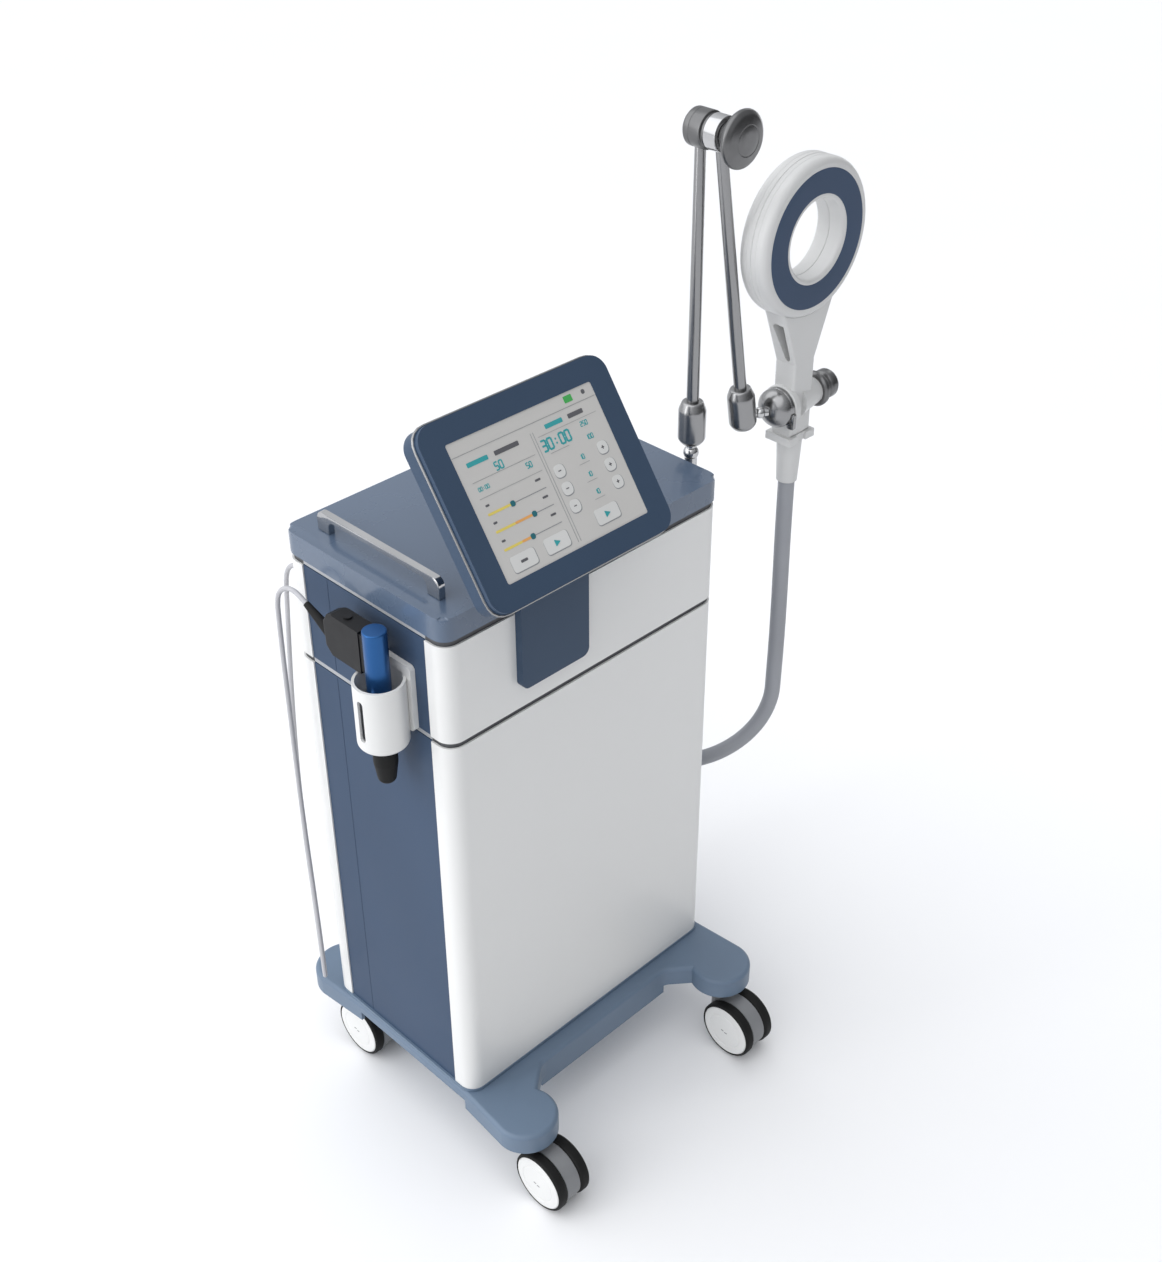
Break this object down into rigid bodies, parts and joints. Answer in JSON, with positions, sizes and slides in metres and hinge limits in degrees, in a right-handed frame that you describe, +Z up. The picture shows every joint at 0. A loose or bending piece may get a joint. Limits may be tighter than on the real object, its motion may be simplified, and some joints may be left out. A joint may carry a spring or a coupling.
{
  "type": "ultrasound therapy device",
  "caption": "Physiotherapy trolley: cabinet on twin-wheel castors with a tilting touch screen, a cupped handpiece on a cable and a ring applicator on a folding arm with its hose.",
  "frame": {"origin": "on the floor under the middle of the cabinet's plan", "axes": "+Z up, -Y out of the cabinet's broad front and the screen, +X to the viewer's right when facing the front, towards the arm"},
  "size_m": [0.8655, 0.588, 1.5385],
  "materials": {
    "cover_white": "glossy moulded plastic",
    "panel_blue": "satin blue paint",
    "lid_blue": "glossy blue plastic",
    "base_blue": "fine matt blue plastic",
    "trim_grey": "dark seam trim",
    "chrome": "polished chrome",
    "brushed": "brushed steel",
    "frame_steel": "powder coated steel",
    "screen_blue": "glossy screen frame",
    "screen_face": "lit display face",
    "wheel_white": "white wheel discs with black treads",
    "castor_grey": "grey castor housing",
    "cup_white": "glossy white plastic",
    "handpiece_blue": "blue anodised aluminium",
    "black_plastic": "black moulded plastic",
    "black_rubber": "black rubber",
    "applicator_white": "light grey plastic",
    "pad_blue": "blue soft-touch pad",
    "coil_copper": "wound coil",
    "hose_grey": "grey flexible hose",
    "cable_grey": "light grey cable",
    "aluminium": "plain sheet",
    "board_green": "circuit board"
  },
  "bodies": {
    "root": {"front_cover_lower": "cover_white", "front_cover_upper": "cover_white", "rear_covers": "cover_white", "left_end_panels": "panel_blue", "right_end_panels": "panel_blue", "seam_bands": "trim_grey", "inner_frame": "frame_steel", "lid": "lid_blue", "lid_handle": "chrome", "base_moulding": "base_blue", "screen_bracket": "screen_blue", "cup_holder": "cup_white", "cable_gland": "black_plastic", "arm_bracket": "brushed", "hose_socket": "black_plastic", "power_supply": "aluminium", "generator_module": "aluminium", "control_board": "board_green", "capacitor_bank": "black_plastic", "fan_frame": "black_plastic", "fan_grille": "chrome", "mains_inlet": "black_plastic", "panel_screws": "brushed", "hose": "hose_grey", "handpiece_cable": "cable_grey"},
    "screen": {"screen_bezel": "screen_blue", "screen_glass": "screen_face", "screen_back": "screen_blue", "screen_panel": "aluminium", "screen_hinge": "brushed"},
    "arm_lower": {"arm_stud": "chrome", "arm_lower_barrel": "brushed", "arm_lower_rod": "chrome", "elbow_drum": "brushed"},
    "arm_upper": {"arm_upper_rod": "chrome"},
    "elbow_knob": {"elbow_knob": "brushed"},
    "wrist": {"wrist_barrel": "brushed", "wrist_cup": "chrome"},
    "applicator": {"ring_shell_front": "applicator_white", "ring_shell_back": "applicator_white", "ring_pad": "pad_blue", "ring_coil": "coil_copper", "applicator_handle": "applicator_white", "applicator_sleeve": "applicator_white"},
    "clamp_knob": {"clamp_knob": "brushed"},
    "handpiece": {"handpiece_barrel": "handpiece_blue", "handpiece_nozzle": "black_rubber", "handpiece_grip": "black_plastic", "handpiece_strain_relief": "black_rubber"},
    "handpiece_button": {"handpiece_button": "black_plastic"},
    "fan_rotor": {"fan_rotor": "black_plastic"},
    "power_switch": {"power_switch": "black_plastic"},
    "castor_front_left_swivel": {"castor_front_left_housing": "castor_grey"},
    "castor_front_left_wheel": {"castor_front_left_wheels": "wheel_white"},
    "castor_front_right_swivel": {"castor_front_right_housing": "castor_grey"},
    "castor_front_right_wheel": {"castor_front_right_wheels": "wheel_white"},
    "castor_rear_left_swivel": {"castor_rear_left_housing": "castor_grey"},
    "castor_rear_left_wheel": {"castor_rear_left_wheels": "wheel_white"},
    "castor_rear_right_swivel": {"castor_rear_right_housing": "castor_grey"},
    "castor_rear_right_wheel": {"castor_rear_right_wheels": "wheel_white"}
  },
  "joints": [
    {"name": "screen_tilt", "type": "hinge", "parent": "root", "child": "screen", "pos_m": [-0.0775, -0.171, 1.062], "axis": [1, 0, 0], "range_deg": [-25, 35]},
    {"name": "arm_swivel", "type": "hinge", "parent": "root", "child": "arm_lower", "pos_m": [0.281, -0.088, 0.96], "axis": [0, 0, 1], "range_deg": [-30, 75]},
    {"name": "elbow_fold", "type": "hinge", "parent": "arm_lower", "child": "arm_upper", "pos_m": [0.275, -0.091, 1.5], "axis": [0, -1, 0], "range_deg": [0, 120]},
    {"name": "elbow_knob_turn", "type": "hinge", "parent": "arm_lower", "child": "elbow_knob", "pos_m": [0.275, -0.091, 1.5], "axis": [0, -1, 0], "range_deg": [0, 300]},
    {"name": "wrist_swivel", "type": "hinge", "parent": "arm_upper", "child": "wrist", "pos_m": [0.3415, -0.133, 1.061], "axis": [-0.1497, 0.0203, 0.9885], "range_deg": [-30, 45]},
    {"name": "applicator_tilt", "type": "hinge", "parent": "wrist", "child": "applicator", "pos_m": [0.424, -0.154, 1.082], "axis": [1, 0, 0], "range_deg": [0, 100]},
    {"name": "clamp_knob_turn", "type": "hinge", "parent": "applicator", "child": "clamp_knob", "pos_m": [0.424, -0.154, 1.082], "axis": [1, 0, 0], "range_deg": [0, 300]},
    {"name": "handpiece_lift", "type": "slide", "parent": "root", "child": "handpiece", "axis": [0, 0, 1], "range_m": [0, 0.2]},
    {"name": "handpiece_button_press", "type": "slide", "parent": "handpiece", "child": "handpiece_button", "axis": [0, 0, -1], "range_m": [0, 0.0018], "stiffness_N_per_m": 400},
    {"name": "fan_spin", "type": "hinge", "parent": "root", "child": "fan_rotor", "pos_m": [0, 0.148, 0.4], "axis": [0, 1, 0], "continuous": true},
    {"name": "power_switch_rock", "type": "hinge", "parent": "root", "child": "power_switch", "pos_m": [0.146, 0.162, 0.25], "axis": [1, 0, 0], "range_deg": [0, 12]},
    {"name": "castor_front_left_swivel_turn", "type": "hinge", "parent": "root", "child": "castor_front_left_swivel", "pos_m": [-0.215, -0.252, 0.104], "axis": [0, 0, 1], "continuous": true},
    {"name": "castor_front_left_wheel_roll", "type": "hinge", "parent": "castor_front_left_swivel", "child": "castor_front_left_wheel", "pos_m": [-0.215, -0.294, 0.05], "axis": [1, 0, 0], "continuous": true},
    {"name": "castor_front_right_swivel_turn", "type": "hinge", "parent": "root", "child": "castor_front_right_swivel", "pos_m": [0.215, -0.252, 0.104], "axis": [0, 0, 1], "continuous": true},
    {"name": "castor_front_right_wheel_roll", "type": "hinge", "parent": "castor_front_right_swivel", "child": "castor_front_right_wheel", "pos_m": [0.215, -0.294, 0.05], "axis": [1, 0, 0], "continuous": true},
    {"name": "castor_rear_left_swivel_turn", "type": "hinge", "parent": "root", "child": "castor_rear_left_swivel", "pos_m": [-0.215, 0.185, 0.104], "axis": [0, 0, 1], "continuous": true},
    {"name": "castor_rear_left_wheel_roll", "type": "hinge", "parent": "castor_rear_left_swivel", "child": "castor_rear_left_wheel", "pos_m": [-0.215, 0.143, 0.05], "axis": [1, 0, 0], "continuous": true},
    {"name": "castor_rear_right_swivel_turn", "type": "hinge", "parent": "root", "child": "castor_rear_right_swivel", "pos_m": [0.215, 0.185, 0.104], "axis": [0, 0, 1], "continuous": true},
    {"name": "castor_rear_right_wheel_roll", "type": "hinge", "parent": "castor_rear_right_swivel", "child": "castor_rear_right_wheel", "pos_m": [0.215, 0.143, 0.05], "axis": [1, 0, 0], "continuous": true}
  ]
}
